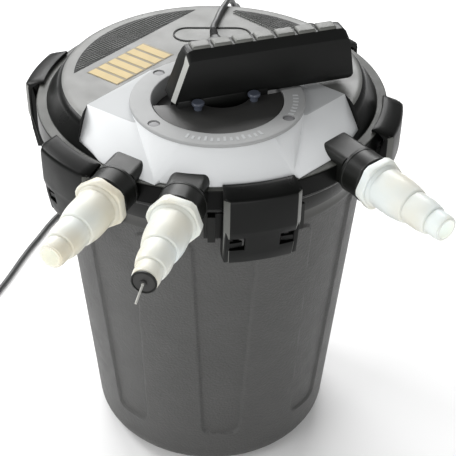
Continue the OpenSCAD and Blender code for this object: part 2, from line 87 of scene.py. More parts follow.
class Nodes:
    """A small helper for building one material's node tree."""

    def __init__(self, name):
        self.mat = bpy.data.materials.new(name)
        self.mat.use_nodes = True
        self.tree = self.mat.node_tree
        self.tree.nodes.clear()
        self.out = self.add("ShaderNodeOutputMaterial")
        self.bsdf = self.add("ShaderNodeBsdfPrincipled")
        self.link(self.bsdf, "BSDF", self.out, "Surface")
        self.coord = self.add("ShaderNodeTexCoord")

    def add(self, kind, **values):
        node = self.tree.nodes.new(kind)
        for key, value in values.items():
            if hasattr(node, key):
                setattr(node, key, value)
            else:
                node.inputs[key.replace("_", " ")].default_value = value
        return node

    def link(self, a, out, b, inp):
        self.tree.links.new(a.outputs[out], b.inputs[inp])

    def noise(self, scale, detail=3.0, rough=0.55):
        node = self.add("ShaderNodeTexNoise")
        node.inputs["Scale"].default_value = scale
        node.inputs["Detail"].default_value = detail
        node.inputs["Roughness"].default_value = rough
        self.link(self.coord, "Object", node, "Vector")
        return node

    def ramp(self, source, out, low, high, a, b):
        node = self.add("ShaderNodeValToRGB")
        node.color_ramp.elements[0].position = low
        node.color_ramp.elements[0].color = a
        node.color_ramp.elements[1].position = high
        node.color_ramp.elements[1].color = b
        self.link(source, out, node, "Fac")
        return node

    def remap(self, source, out, low, high, to_low, to_high):
        node = self.add("ShaderNodeMapRange")
        for key, value in (("From Min", low), ("From Max", high), ("To Min", to_low),
                           ("To Max", to_high)):
            node.inputs[key].default_value = value
        self.link(source, out, node, "Value")
        return node

    def bump(self, source, out, strength, distance):
        node = self.add("ShaderNodeBump")
        node.inputs["Strength"].default_value = strength
        node.inputs["Distance"].default_value = distance
        self.link(source, out, node, "Height")
        self.link(node, "Normal", self.bsdf, "Normal")
        return node


def shade(colour, k):
    return (*(min(1.0, c * k) for c in colour[:3]), 1.0)


def plastic(name, hex_colour, rough=0.45, rough_spread=0.06, mottle=0.12, mottle_scale=9.0,
            grain=1400.0, grain_depth=0.00012, grain_strength=0.35, specular=0.5, coat=0.0):
    """Moulded plastic: slow colour mottling, uneven gloss and a fine surface grain."""
    n = Nodes(name)
    colour = linear(hex_colour)
    slow = n.noise(mottle_scale, 4.0)
    ramp = n.ramp(slow, "Fac", 0.3, 0.7, shade(colour, 1 - mottle), shade(colour, 1 + mottle))
    n.link(ramp, "Color", n.bsdf, "Base Color")
    patch = n.noise(mottle_scale * 4.3, 5.0)
    gloss = n.remap(patch, "Fac", 0.3, 0.7, rough - rough_spread, rough + rough_spread)
    n.link(gloss, "Result", n.bsdf, "Roughness")
    n.bsdf.inputs["Specular IOR Level"].default_value = specular
    if coat:
        n.bsdf.inputs["Coat Weight"].default_value = coat
        n.bsdf.inputs["Coat Roughness"].default_value = 0.2
    fine = n.noise(grain, 2.0)
    n.bump(fine, "Fac", grain_strength, grain_depth)
    return n.mat


def milky_polymer(name, glow):
    """Natural polymer: cloudy, with faint warm and cool patches.

    The glow stands in for the daylight that comes through the wall from behind.
    """
    n = Nodes(name)
    slow = n.noise(16.0, 1.5)
    ramp = n.ramp(slow, "Fac", 0.3, 0.72, linear("#cdc5b0"), linear("#d3dada"))
    n.link(ramp, "Color", n.bsdf, "Base Color")
    patch = n.noise(40.0, 2.0)
    gloss = n.remap(patch, "Fac", 0.3, 0.7, 0.26, 0.36)
    n.link(gloss, "Result", n.bsdf, "Roughness")
    n.bsdf.inputs["Specular IOR Level"].default_value = 0.3
    n.bsdf.inputs["Subsurface Weight"].default_value = 0.6
    n.bsdf.inputs["Subsurface Radius"].default_value = (1.0, 0.95, 0.85)
    n.bsdf.inputs["Subsurface Scale"].default_value = 0.005
    n.bsdf.inputs["IOR"].default_value = 1.46
    n.link(ramp, "Color", n.bsdf, "Emission Color")
    n.bsdf.inputs["Emission Strength"].default_value = glow
    wave = n.noise(90.0, 1.0)
    n.bump(wave, "Fac", 0.08, 0.0002)
    return n.mat


def foam(name, hex_colour):
    n = Nodes(name)
    colour = linear(hex_colour)
    cells = n.add("ShaderNodeTexVoronoi")
    cells.inputs["Scale"].default_value = 320.0
    n.link(n.coord, "Object", cells, "Vector")
    # darker in the cells' pits, where the bump sinks: painted shade in the hollows
    ramp = n.ramp(cells, "Distance", 0.1, 0.6, shade(colour, 0.35), shade(colour, 1.2))
    n.link(ramp, "Color", n.bsdf, "Base Color")
    n.bsdf.inputs["Roughness"].default_value = 0.95
    n.bump(cells, "Distance", 0.8, 0.001)
    return n.mat


def metal(name, hex_colour, rough):
    n = Nodes(name)
    fine = n.noise(500.0, 3.0)
    colour = linear(hex_colour)
    ramp = n.ramp(fine, "Fac", 0.3, 0.7, shade(colour, 0.85), shade(colour, 1.1))
    n.link(ramp, "Color", n.bsdf, "Base Color")
    n.bsdf.inputs["Metallic"].default_value = 1.0
    gloss = n.remap(fine, "Fac", 0.3, 0.7, rough - 0.07, rough + 0.07)
    n.link(gloss, "Result", n.bsdf, "Roughness")
    return n.mat


def glass(name):
    n = Nodes(name)
    haze = n.noise(40.0, 3.0)
    ramp = n.ramp(haze, "Fac", 0.3, 0.7, linear("#dfe8ee"), linear("#f2f7fa"))
    n.link(ramp, "Color", n.bsdf, "Base Color")
    n.bsdf.inputs["Transmission Weight"].default_value = 0.9
    n.bsdf.inputs["Roughness"].default_value = 0.05
    n.bsdf.inputs["IOR"].default_value = 1.46
    return n.mat


MATS = {
    "housing_black": plastic("housing_black", "#161715", 0.36, specular=0.22, grain_strength=0.2),
    "lid_black": plastic("lid_black", "#0a0b0a", 0.32, specular=0.09, grain_strength=0.15),
    # grey for the lid's up-facing faces: painted sheen of the top light on the black lid
    "lid_top": plastic("lid_top", "#5c5d5a", 0.45, grain=2200.0, grain_strength=0.2),
    # grey for the flange's up-facing faces: painted light on the black flange
    "flange_top": plastic("flange_top", "#3c3d39", 0.45, specular=0.3, grain_strength=0.25),
    "vessel_grey": plastic("vessel_grey", "#464645", 0.5, 0.05, 0.06, 14.0, 420.0, 0.0012, 1.0,
                           specular=0.4),
    "collar_grey": plastic("collar_grey", "#434341", 0.34, specular=0.35, grain_strength=0.12),
    # black for the top rim band: partly the rim's own black, partly painted shade under the flange
    "rim_black": plastic("rim_black", "#121311", 0.3, specular=0.3, grain_strength=0.12),
    "latch_black": plastic("latch_black", "#0f100f", 0.4, specular=0.16, grain_strength=0.15),
    # lighter grey for the latch flanks turned to the side: painted highlight on the black latch
    "latch_edge": plastic("latch_edge", "#5c5d59", 0.35, specular=0.4, grain_strength=0.1),
    "cover_grey": plastic("cover_grey", "#d9dbdc", 0.5, 0.04, 0.02, 6.0, 1800.0, 0.0001, 0.12,
                          specular=0.12),
    # darker copy of the cover grey: painted shade on flat top faces, which the top light would
    # make too bright
    "wing_grey": plastic("wing_grey", "#b6b8b9", 0.5, 0.04, 0.02, 6.0, 1800.0, 0.0001, 0.12,
                         specular=0.12),
    "ring_grey": plastic("ring_grey", "#9fa0a0", 0.5, 0.04, 0.03, 30.0, 1500.0, 0.0001, 0.2,
                         specular=0.15),
    "dial_black": plastic("dial_black", "#30302f", 0.42, specular=0.3, grain_strength=0.25),
    "handle_black": plastic("handle_black", "#0d0e0d", 0.36, 0.05, 0.06, specular=0.22,
                            grain_strength=0.15),
    # light grey for one chamfer facet of the black blade: painted highlight where it faces the
    # light
    "facet_grey": plastic("facet_grey", "#a9aaa6", 0.3, specular=0.5, grain_strength=0.1),
    "grip_grey": plastic("grip_grey", "#5e5f5b", 0.5, grain_strength=0.4),
    "vent_dark": plastic("vent_dark", "#131413", 0.5, specular=0.12),
    "vent_grey": plastic("vent_grey", "#4a4c49", 0.5, specular=0.35),
    "label_film": plastic("label_film", "#b8a371", 0.45, 0.05, 0.05, 60.0, 300.0, 0.00005, 0.2,
                          specular=0.2),
    "label_bar": plastic("label_bar", "#837a63", 0.45, specular=0.2),
    "tail_milky": milky_polymer("tail_milky", 0.09),
    # stronger glow for the bore faces: painted light shining through the wall
    "tail_bore": milky_polymer("tail_bore", 0.5),
    "button_slate": plastic("button_slate", "#454a55", 0.3, grain_strength=0.1),
    "screw_grey": plastic("screw_grey", "#6c6c6e", 0.5),
    "pin_steel": metal("pin_steel", "#c5c7c9", 0.3),
    "seal_rubber": plastic("seal_rubber", "#141414", 0.7, specular=0.2),
    "pull_wire": plastic("pull_wire", "#b4b4ae", 0.35),
    "quartz": glass("quartz"),
    "lamp_white": plastic("lamp_white", "#eef0f2", 0.25),
    "foam_blue": foam("foam_blue", "#2c5f8c"),
    "foam_red": foam("foam_red", "#a8433a"),
    "media_black": plastic("media_black", "#3d3e3c", 0.55),
    "cord_sheath": plastic("cord_sheath", "#2b2c2c", 0.42, grain=900.0),
    "plug_black": plastic("plug_black", "#161616", 0.45, specular=0.3),
}


# ---------- mesh helpers ----------
def polar(az, r, z=0.0):
    a = math.radians(az)
    return Vector((r * math.sin(a), -r * math.cos(a), z))


def make(name, verts, faces, mat, body=ROOT, matrix=None, sharp=35.0, replaces=()):
    """Mesh from millimetre coordinates, riding on a body."""
    mesh = bpy.data.meshes.new(name)
    place = matrix or Matrix.Identity(4)
    mesh.from_pydata([(place @ Vector(v)) * MM for v in verts], [], faces)
    bm = bmesh.new()
    bm.from_mesh(mesh)
    bmesh.ops.remove_doubles(bm, verts=bm.verts, dist=1e-6)
    bmesh.ops.recalc_face_normals(bm, faces=bm.faces)
    bm.to_mesh(mesh)
    bm.free()
    obj = bpy.data.objects.new(name, mesh)
    SCENE.collection.objects.link(obj)
    finish_mesh(obj, mat, sharp)
    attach(obj, body)
    if replaces:
        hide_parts(*replaces)
    return obj


def finish_mesh(obj, mat, sharp=35.0):
    obj.data.materials.clear()
    obj.data.materials.append(MATS[mat])
    obj.data.shade_smooth()
    obj.data.set_sharp_from_angle(angle=math.radians(sharp))


SLOT_OF = {name: name for name in ("housing_black", "vessel_grey", "cover_grey", "dial_black",
                                   "handle_black", "grip_grey", "vent_grey", "label_film",
                                   "tail_milky", "button_slate", "screw_grey", "pin_steel",
                                   "seal_rubber", "pull_wire", "cord_sheath", "plug_black")}
SLOT_OF.update(lid_black="housing_black", lid_top="housing_black", flange_top="housing_black",
               collar_grey="vessel_grey", rim_black="housing_black", latch_black="housing_black",
               vent_dark="housing_black", label_bar="label_film",
               latch_edge="housing_black", facet_grey="handle_black",
               ring_grey="cover_grey", wing_grey="cover_grey", tail_bore="tail_milky")


def bevelled(obj, width, segments=2, angle=30.0):
    """Rounds the mesh's sharp edges for good, then marks what stays sharp."""
    mod = obj.modifiers.new("bevel", "BEVEL")
    mod.width = width * MM
    mod.segments = segments
    mod.limit_method = "ANGLE"
    mod.angle_limit = math.radians(angle)
    apply_modifiers(obj)
    return obj


def apply_modifiers(obj, sharp=35.0):
    deps = bpy.context.evaluated_depsgraph_get()
    mesh = bpy.data.meshes.new_from_object(obj.evaluated_get(deps))
    old = obj.data
    obj.modifiers.clear()
    obj.data = mesh
    bpy.data.meshes.remove(old)
    obj.data.shade_smooth()
    obj.data.set_sharp_from_angle(angle=math.radians(sharp))


def carve(obj, cutter, operation="DIFFERENCE"):
    mod = obj.modifiers.new("cut", "BOOLEAN")
    mod.operation = operation
    mod.solver = "EXACT"
    mod.object = cutter
    apply_modifiers(obj)


def discard(*objs):
    for obj in objs:
        bpy.data.objects.remove(obj)


def lathe(profile, steps=96, start=0.0, sweep=360.0, cap=True):
    """Vertices and faces of a (radius, height) profile turned about Z over a sweep."""
    whole = abs(sweep - 360.0) < 1e-6
    count = steps if whole else steps + 1
    verts, faces = [], []
    rows = len(profile)
    for i in range(count):
        az = start + sweep * i / steps
        verts += [tuple(polar(az, r, z)) for r, z in profile]
    for i in range(steps):
        a, b = i * rows, ((i + 1) % count) * rows
        for k in range(rows if not whole and cap else rows - 1):
            k2 = (k + 1) % rows
            faces.append((a + k, b + k, b + k2, a + k2))
    if not whole and cap:
        faces.append(tuple(range(rows)))
        faces.append(tuple((count - 1) * rows + k for k in reversed(range(rows))))
    return verts, faces


def prism(outline, z0, z1):
    """Closed prism over a flat outline of (x, y) points."""
    n = len(outline)
    verts = [(x, y, z0) for x, y in outline] + [(x, y, z1) for x, y in outline]
    faces = [tuple(reversed(range(n))), tuple(range(n, 2 * n))]
    faces += [(k, (k + 1) % n, n + (k + 1) % n, n + k) for k in range(n)]
    return verts, faces


def hull(points):
    """Convex hull of points, as vertices and faces."""
    bm = bmesh.new()
    for p in points:
        bm.verts.new(p)
    out = bmesh.ops.convex_hull(bm, input=bm.verts)
    junk = {g for g in out["geom_interior"] + out["geom_unused"]
            if isinstance(g, bmesh.types.BMVert)}
    bmesh.ops.delete(bm, geom=list(junk), context="VERTS")
    bmesh.ops.dissolve_limit(bm, angle_limit=math.radians(1.0), verts=bm.verts, edges=bm.edges)
    bm.verts.index_update()
    verts = [tuple(v.co) for v in bm.verts]
    faces = [tuple(v.index for v in f.verts) for f in bm.faces]
    bm.free()
    return verts, faces


def circle(radius, count=48, centre=(0.0, 0.0), start=0.0, end=360.0):
    last = count if abs(end - start - 360.0) < 1e-6 else count - 1
    return [(centre[0] + radius * math.cos(math.radians(start + (end - start) * k / last)),
             centre[1] + radius * math.sin(math.radians(start + (end - start) * k / last)))
            for k in range(count)]


def arc(cx, cz, r, a0, a1, n):
    """Profile points on an arc from angle a0 to a1 degrees."""
    return [(cx + r * math.cos(math.radians(a0 + (a1 - a0) * i / n)),
             cz + r * math.sin(math.radians(a0 + (a1 - a0) * i / n))) for i in range(n + 1)]


def smooth_step(low, high, x):
    t = min(1.0, max(0.0, (x - low) / (high - low)))
    return t * t * (3 - 2 * t)


def port_matrix(name):
    """Frame of a port: +Z runs out along it and +Y points up."""
    (x, y), az = PORTS[name]
    return (Matrix.Translation((x, y, PORT_Z)) @ Matrix.Rotation(math.radians(az), 4, "Z")
            @ Matrix.Rotation(math.radians(90), 4, "X"))


def turned(az):
    return Matrix.Rotation(math.radians(az), 4, "Z")


VALVE = Matrix.Translation((0, VALVE_Y, 0)) @ turned(HANDLE_TURN)


# ---------- camera ----------
def add_camera():
    """Camera at the photograph's angle, with its frame shifted a little to the right."""
    tilt, az, target_z, distance = 36.55, -5.0, 241.7, 1337.2
    data = bpy.data.cameras.new("camera")
    data.sensor_width = 36.0
    data.lens = 94.29
    data.shift_x = 0.0364
    data.clip_end = 50.0
    cam = bpy.data.objects.new("camera", data)
    SCENE.collection.objects.link(cam)
    level = distance * math.cos(math.radians(tilt))
    cam.location = polar(az, level, target_z + distance * math.sin(math.radians(tilt))) * MM
    roll = Matrix.Rotation(math.radians(0.195), 4, "Z")
    cam.matrix_world = (Matrix.Translation(cam.location) @ turned(az)
                        @ Matrix.Rotation(math.radians(90 - tilt), 4, "X") @ roll)
    SCENE.camera = cam


add_camera()


# ---------- mains lead ----------
CORD_ROUTE = [
    (0.008, 0.074, 0.4477), (0.009, 0.088, 0.446), (0.014, 0.105, 0.445), (0.020, 0.125, 0.445),
    (0.027, 0.143, 0.445), (0.032, 0.156, 0.443), (0.037, 0.166, 0.437), (0.041, 0.176, 0.427),
    (0.045, 0.184, 0.422), (0.049, 0.191, 0.410), (0.051, 0.194, 0.385), (0.051, 0.194, 0.320),
    (0.050, 0.194, 0.240), (0.049, 0.195, 0.160), (0.047, 0.197, 0.090), (0.044, 0.201, 0.050),
    (0.040, 0.208, 0.024), (0.034, 0.220, 0.009), (0.025, 0.237, 0.004), (0.012, 0.258, 0.004),
    (-0.005, 0.285, 0.004), (-0.025, 0.315, 0.004), (-0.050, 0.346, 0.004),
    (-0.080, 0.375, 0.004), (-0.115, 0.396, 0.004), (-0.148, 0.402, 0.004),
    (-0.175, 0.391, 0.004), (-0.193, 0.372, 0.004), (-0.207, 0.348, 0.004),
    (-0.220, 0.320, 0.004), (-0.233, 0.293, 0.004), (-0.246, 0.263, 0.004),
    (-0.260, 0.228, 0.004), (-0.275, 0.195, 0.004), (-0.288, 0.170, 0.004),
    (-0.297, 0.148, 0.004), (-0.301, 0.130, 0.0043)]
COIL_CENTRE = (-0.351, 0.112)
COIL_MID_R, COIL_PITCH, COIL_LOW = 0.039, 0.0066, 0.00475
COIL_TURNS = 14.5


def coil_points(per_turn=16):
    """Turns that fill four columns row by row, changing place over the last part of a turn."""
    def slot_of(turn):
        row, k = divmod(turn, 4)
        column = 3 - k if row % 2 == 0 else k
        return COIL_MID_R + (column - 1.5) * COIL_PITCH, COIL_LOW + row * COIL_PITCH

    points = []
    for i in range(int(COIL_TURNS * per_turn) + 1):
        turn, part = divmod(i, per_turn)
        part /= per_turn
        r0, z0 = slot_of(turn)
        r1, z1 = slot_of(turn + 1)
        mix = smooth_step(0.7, 1.0, part)
        r, z = r0 + (r1 - r0) * mix, z0 + (z1 - z0) * mix
        a = -2 * math.pi * part
        points.append((COIL_CENTRE[0] + r * math.cos(a), COIL_CENTRE[1] + r * math.sin(a), z))
    return points


def add_cord():
    coil = coil_points()
    last = coil[-1]
    tail = [(last[0], last[1] + 0.018, last[2]), (last[0], last[1] + 0.036, last[2] - 0.0005),
            (last[0], last[1] + 0.050, last[2] - 0.0035), (last[0], last[1] + 0.064, 0.017)]
    points = CORD_ROUTE + coil + tail
    curve = bpy.data.curves.new("mains_cord", "CURVE")
    curve.dimensions = "3D"
    curve.resolution_u = 6
    curve.bevel_depth = CORD_R * MM
    curve.bevel_resolution = 4
    curve.use_fill_caps = True
    spline = curve.splines.new("BEZIER")
    spline.bezier_points.add(len(points) - 1)
    for bp, co in zip(spline.bezier_points, points):
        bp.co = co
        bp.handle_left_type = bp.handle_right_type = "AUTO"
    obj = bpy.data.objects.new("mains_cord", curve)
    SCENE.collection.objects.link(obj)
    curve.materials.append(MATS["cord_sheath"])
    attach(obj, ROOT)
    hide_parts("cord", "cord_coil", "cord_end")
    length = sum(math.dist(a, b) for a, b in zip(points, points[1:]))
    return obj, length, tail[-1]


def add_plug(end):
    """Round moulded plug with a ribbed neck and two pins, lying on the floor along +Y."""
    place = (Matrix.Translation(Vector(end) / MM) @ Matrix.Rotation(math.radians(-90), 4, "X"))
    neck = [(0, -3), (4.6, -3), (5.2, -2)]
    for k in range(5):
        neck += [(5.4 + 0.7 * k, 1 + 4 * k), (5.0 + 0.7 * k, 2.6 + 4 * k),
                 (5.6 + 0.7 * k, 4 + 4 * k)]
    body = neck + [(9.5, 21)] + arc(13.0, 26.0, 4.0, 200, 90, 6) + [(16.2, 31.5), (17, 33),
                   (17, 43.5), (16, 45), (0, 45)]
    plug = make("mains_plug_body", *lathe(body, 48), "plug_black", matrix=place,
                replaces=("mains_plug",))
    pins = []
    for s in (-1, 1):
        pin = [(0, 44), (2.4, 44), (2.4, 61)] + arc(0.6, 61.6, 1.8, 0, 90, 4) + [(0, 63.4)]
        pins.append(make(f"plug_pin_{s + 2}", *lathe(pin, 20), "pin_steel",
                         matrix=place @ Matrix.Translation((9.5 * s, 0, 0))))
    return [plug, *pins]


def add_tie():
    """Flat band wrapped round the coil's section."""
    half, thick, wide = 13.4, 1.1, 9.0
    r = 3.5
    def loop(extra):
        out = []
        for cx, cy, a in ((1, 1, 0), (-1, 1, 90), (-1, -1, 180), (1, -1, 270)):
            out += [((half - r) * cx + (r + extra) * math.cos(math.radians(a + b)),
                     (half - r) * cy + (r + extra) * math.sin(math.radians(a + b)))
                    for b in (0, 30, 60, 90)]
        return out
    inner, outer = loop(0.0), loop(thick)
    n = len(inner)
    verts = [(x, y, z) for ring in (inner, outer) for z in (-wide / 2, wide / 2)
             for x, y in ring]
    faces = []
    for k in range(n):
        k2 = (k + 1) % n
        faces += [(k, k2, n + k2, n + k), (2 * n + k, 3 * n + k, 3 * n + k2, 2 * n + k2),
                  (k, 2 * n + k, 2 * n + k2, k2), (n + k, n + k2, 3 * n + k2, 3 * n + k)]
    place = (Matrix.Translation((COIL_CENTRE[0] / MM, COIL_CENTRE[1] / MM + 39, 14.5))
             @ Matrix.Rotation(math.radians(90), 4, "Y"))
    return make("cord_tie", verts, faces, "seal_rubber", matrix=place, replaces=("coil_tie",))


def add_strain_relief():
    """Tapered, ribbed sleeve where the lead leaves the gland."""
    place = (Matrix.Translation((8, 52.2, 448.5)) @ Matrix.Rotation(math.radians(-92), 4, "X"))
    profile = [(0, 0), (5.0, 0)]
    for k in range(6):
        r = 5.0 - 0.2 * k
        profile += [(r, 1 + 3.8 * k), (r, 3.2 + 3.8 * k), (r - 0.7, 3.6 + 3.8 * k),
                    (r - 0.7, 4.4 + 3.8 * k)]
    profile += [(3.7, 24.8), (3.3, 25.0), (0, 25.0)]
    return make("lead_strain_relief", *lathe(profile, 32), "seal_rubber", matrix=place,
                replaces=("strain_relief",))


cord, cord_length, cord_tail = add_cord()
add_plug(cord_tail)
add_tie()
add_strain_relief()


# ---------- vessel ----------
def vessel_radius(z):
    return 135.0 + (166.5 - 135.0) * (z - 27.0) / (SEAM_Z - 27.0)


def recess(az, z):
    """Depth of the flutes and of the groove they run into, with rounded panel corners."""
    radius = vessel_radius(z)
    groove = abs(z - 348.0) - 5.0
    off = abs((az + 22.5) % 45.0 - 22.5)
    half = 8.6 + 3.2 * (z - FLUTE_Z0) / 287.0
    corner, blend = 10.0, 12.0
    qx = math.radians(off - half) * radius + corner
    qz = FLUTE_Z0 - z + corner
    flute = math.hypot(max(qx, 0), max(qz, 0)) + min(max(qx, qz), 0) - corner
    near = math.hypot(max(blend - groove, 0), max(blend - flute, 0))
    edge = max(blend, min(groove, flute)) - near
    return FLUTE_DEPTH * smooth_step(-1.5, 1.5, -edge)


def add_vessel():
    levels = [27 + 3.6 * k for k in range(100) if 27 + 3.6 * k < 386]
    levels = sorted(set(levels + [338 + 0.9 * k for k in range(18)]
                        + [FLUTE_Z0 - 5 + 1.2 * k for k in range(12)]))
    foot = [(0, 3.0), (60, 3.0), (84, 3.0), (86.5, 0.6), (89, 0)] + arc(108, 27, 27, -90, -4, 10)
    rim = [(vessel_radius(386), 386), (173.5, 388.6), (175.6, 390), (176, 391), (176, 394.6),
           (175.6, 395), (162.5, 395), (162.5, 388)]
    steps = 600
    rows = foot + [(None, z) for z in levels] + rim
    count = len(rows)
    verts, faces = [], []
    for i in range(steps):
        az = 360.0 * i / steps
        for r, z in rows:
            radius = vessel_radius(z) - recess(az, z) if r is None else r
            verts.append(tuple(polar(az, radius, z)))
    for i in range(steps):
        a, b = i * count, ((i + 1) % steps) * count
        faces += [(a + k, b + k, b + k + 1, a + k + 1) for k in range(count - 1)]
    shell = make("vessel_shell", verts, faces, "vessel_grey", replaces=("vessel",))
    low, mid, top = COLLAR_Z, 366.5, 385.5
    bead = [(vessel_radius(low) - 1, low), (vessel_radius(low) + 2.0, low),
            (vessel_radius(low + 1) + 3.0, low + 1), (vessel_radius(low + 3) + 3.1, low + 3),
            (vessel_radius(low + 4.6) + 2.4, low + 4.6), (vessel_radius(mid) + 2.2, mid),
            (vessel_radius(mid) + 2.3, mid + 0.4), (vessel_radius(top) + 2.3, top - 1),
            (vessel_radius(top) + 1.8, top), (vessel_radius(top) - 1, top)]
    collar = make("collar_band", *lathe(bead, 240), "collar_grey", replaces=("rim_collar",))
    # the band above the bead and the vessel's top rim turn black: partly the rim's own black,
    # partly painted shade under the lid's flange
    second_material(collar, "rim_black", lambda c, n: c.z > mid)
    second_material(shell, "rim_black", lambda c, n: c.z > 384)


def second_material(obj, mat, chosen):
    """Gives the faces picked by chosen(centre in mm, normal) another material."""
    obj.data.materials.append(MATS[mat])
    slot = len(obj.data.materials) - 1
    for face in obj.data.polygons:
        if chosen(face.center / MM, face.normal):
            face.material_index = slot


add_vessel()


# ---------- valve cover and lid ----------
def wing_points(s, rise=0.0):
    """Corners of a wing of the cover; a rise carries the shape upwards, for cutting the lid."""
    top = [(127, -57), (84, -94), (0, -100), (0, 22), (63, 6)]
    low = [(137, -92), (114, -127), (67, -166), (0, -120), (90, -50)]
    return ([(s * x, y, z) for x, y in top for z in (LID_Z + 0.4 + rise, LID_Z - 1)]
            + [(s * x, y, z) for x, y in low for z in (FLANGE_Z, FLANGE_Z + 1 + rise)])


def drum_points(rise=0.0):
    foot = [(174 * math.sin(math.radians(a)), -174 * math.cos(math.radians(a)))
            for a in [-23 + 44.1 * k / 24 for k in range(25)]] + [(60, -90), (-60, -90)]
    ring = [(x, y + VALVE_Y) for x, y in circle(RING_R - 0.5, 96)]
    return ([(x, y, z) for x, y in foot for z in (FLANGE_Z, FLANGE_Z + 1.2 + rise)]
            + [(x, y, z) for x, y in ring for z in (RING_Z - 4.2, RING_Z - 3.1 + rise)])


def cylinder(radius, z0, z1, centre=(0.0, 0.0), steps=96):
    return prism([(x + centre[0], y + centre[1]) for x, y in circle(radius, steps)], z0, z1)


def add_ring_marks(place):
    """Raised strokes on the front of the ring and on its right side, like a dial's scale."""
    verts, faces = [], []
    for az in [-27 + 4.5 * k for k in range(13)] + [62 + 4.5 * k for k in range(7)]:
        inner, outer = (71.5, 79.0) if round(az * 2) % 27 == 0 else (73.5, 79.0)
        base = len(verts)
        box_v, box_f = hull([tuple(polar(az + a, r, z)) for a in (-0.9, 0.9)
                             for r in (inner, outer) for z in (RING_Z - 0.5, RING_Z + 0.35)])
        verts += box_v
        faces += [tuple(base + i for i in f) for f in box_f]
    make("ring_marks", verts, faces, "wing_grey", matrix=place)


def add_cover():
    plain = [make(f"cut_{k}", *hull(p), "cover_grey")
             for k, p in enumerate((wing_points(-1, 40), wing_points(1, 40), drum_points(40)))]
    collar = make("cut_collar", *cylinder(COVER_BACK_R, FLANGE_Z, LID_Z + 40, (0, VALVE_Y)),
                  "cover_grey")
    lid_cutter = plain + [collar]
    pieces = [bevelled(make(f"wing_{k}", *hull(p), "cover_grey"), 1.8, 3)
              for k, p in enumerate((wing_points(-1), wing_points(1)))]
    pieces.append(bevelled(make("drum", *hull(drum_points()), "cover_grey"), 1.6, 2, 40))
    pieces.append(make("back", *cylinder(COVER_BACK_R, FLANGE_Z, LID_Z + 0.39, (0, VALVE_Y)),
                       "cover_grey"))
    place = Matrix.Translation((0, VALVE_Y, 0))
    ring_profile = [(71.8, 423.3), (71.8, RING_Z - 3), (RING_R, RING_Z - 3)] \
        + arc(RING_R - 1.6, RING_Z - 1.6, 1.6, 0, 90, 4) \
        + arc(WELL_R + 1.2, RING_Z - 1.2, 1.2, 90, 180, 4) + [(WELL_R, 423.3)]
    ring = make("valve_cover_ring", *lathe(ring_profile + ring_profile[:1], 160), "ring_grey",
                matrix=place, replaces=("dial_ring",))
    add_ring_marks(place)
    cover = pieces[0]
    for other in pieces[1:]:
        carve(cover, other, "UNION")
    bore = make("bore", *cylinder(COVER_BORE_R, 400, 470, (0, VALVE_Y), 160), "cover_grey")
    carve(cover, bore)
    for k, a in enumerate(SCREW_ANGLES):
        x = SCREW_RING_R * math.cos(math.radians(a))
        y = SCREW_RING_R * math.sin(math.radians(a)) + VALVE_Y
        cut = make("cap_cut", *cylinder(6, RING_Z - 2.2, RING_Z + 2, (x, y), 32), "cover_grey")
        carve(ring, cut)
        carve(cover, cut)
        discard(cut)
        cap = [(0, RING_Z - 1.0), (3.6, RING_Z - 0.9), (5.0, RING_Z - 1.1), (5.6, RING_Z - 1.7),
               (5.7, RING_Z - 2.4)]
        make(f"screw_cap_{k + 1}", *lathe(cap, 32), "screw_grey",
                         matrix=Matrix.Translation((x, y, 0)))
    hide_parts("cover_screws")
    # painted shade: flat up-facing faces of the cover take a darker copy of its grey
    second_material(cover, "wing_grey", lambda c, n: n.z > 0.95)
    cover.name = "valve_cover_shell"
    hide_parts("valve_cover")
    discard(*pieces[1:], bore)
    return lid_cutter


def add_lid(cutters):
    profile = [(0, 408), (171, 408), (171, 395.2), (FLANGE_R - 1, 395.2), (FLANGE_R, 396.2),
               (FLANGE_R, 415.2)] \
        + arc(178.4, 415.4, 1.6, 0, 90, 4) + [(170.2, 417)] + arc(170.2, 418.6, 1.6, 270, 195, 3) \
        + arc(LID_FLAT_R, LID_Z - 12, 12, 12, 90, 8) + [(60, LID_Z), (0, LID_Z)]
    lid = make("lid_shell", *lathe(profile, 240), "lid_black", replaces=("lid",))
    cutters.append(make("cut_seat", *cylinder(LAMP_SEAT_R, 400, LID_Z + 20, LAMP_POS),
                        "lid_black"))
    for cutter in cutters:
        carve(lid, cutter)
    discard(*cutters)
    # painted sheen: the lid's up-facing top faces get a grey copy of the black plastic
    second_material(lid, "lid_top", lambda c, n: n.z > 0.9 and c.z > LID_Z - 2)
    # painted light: the flange's up-facing faces get a grey copy of the black plastic
    second_material(lid, "flange_top", lambda c, n: n.z > 0.8 and c.z < LID_Z - 12)


add_lid(add_cover())


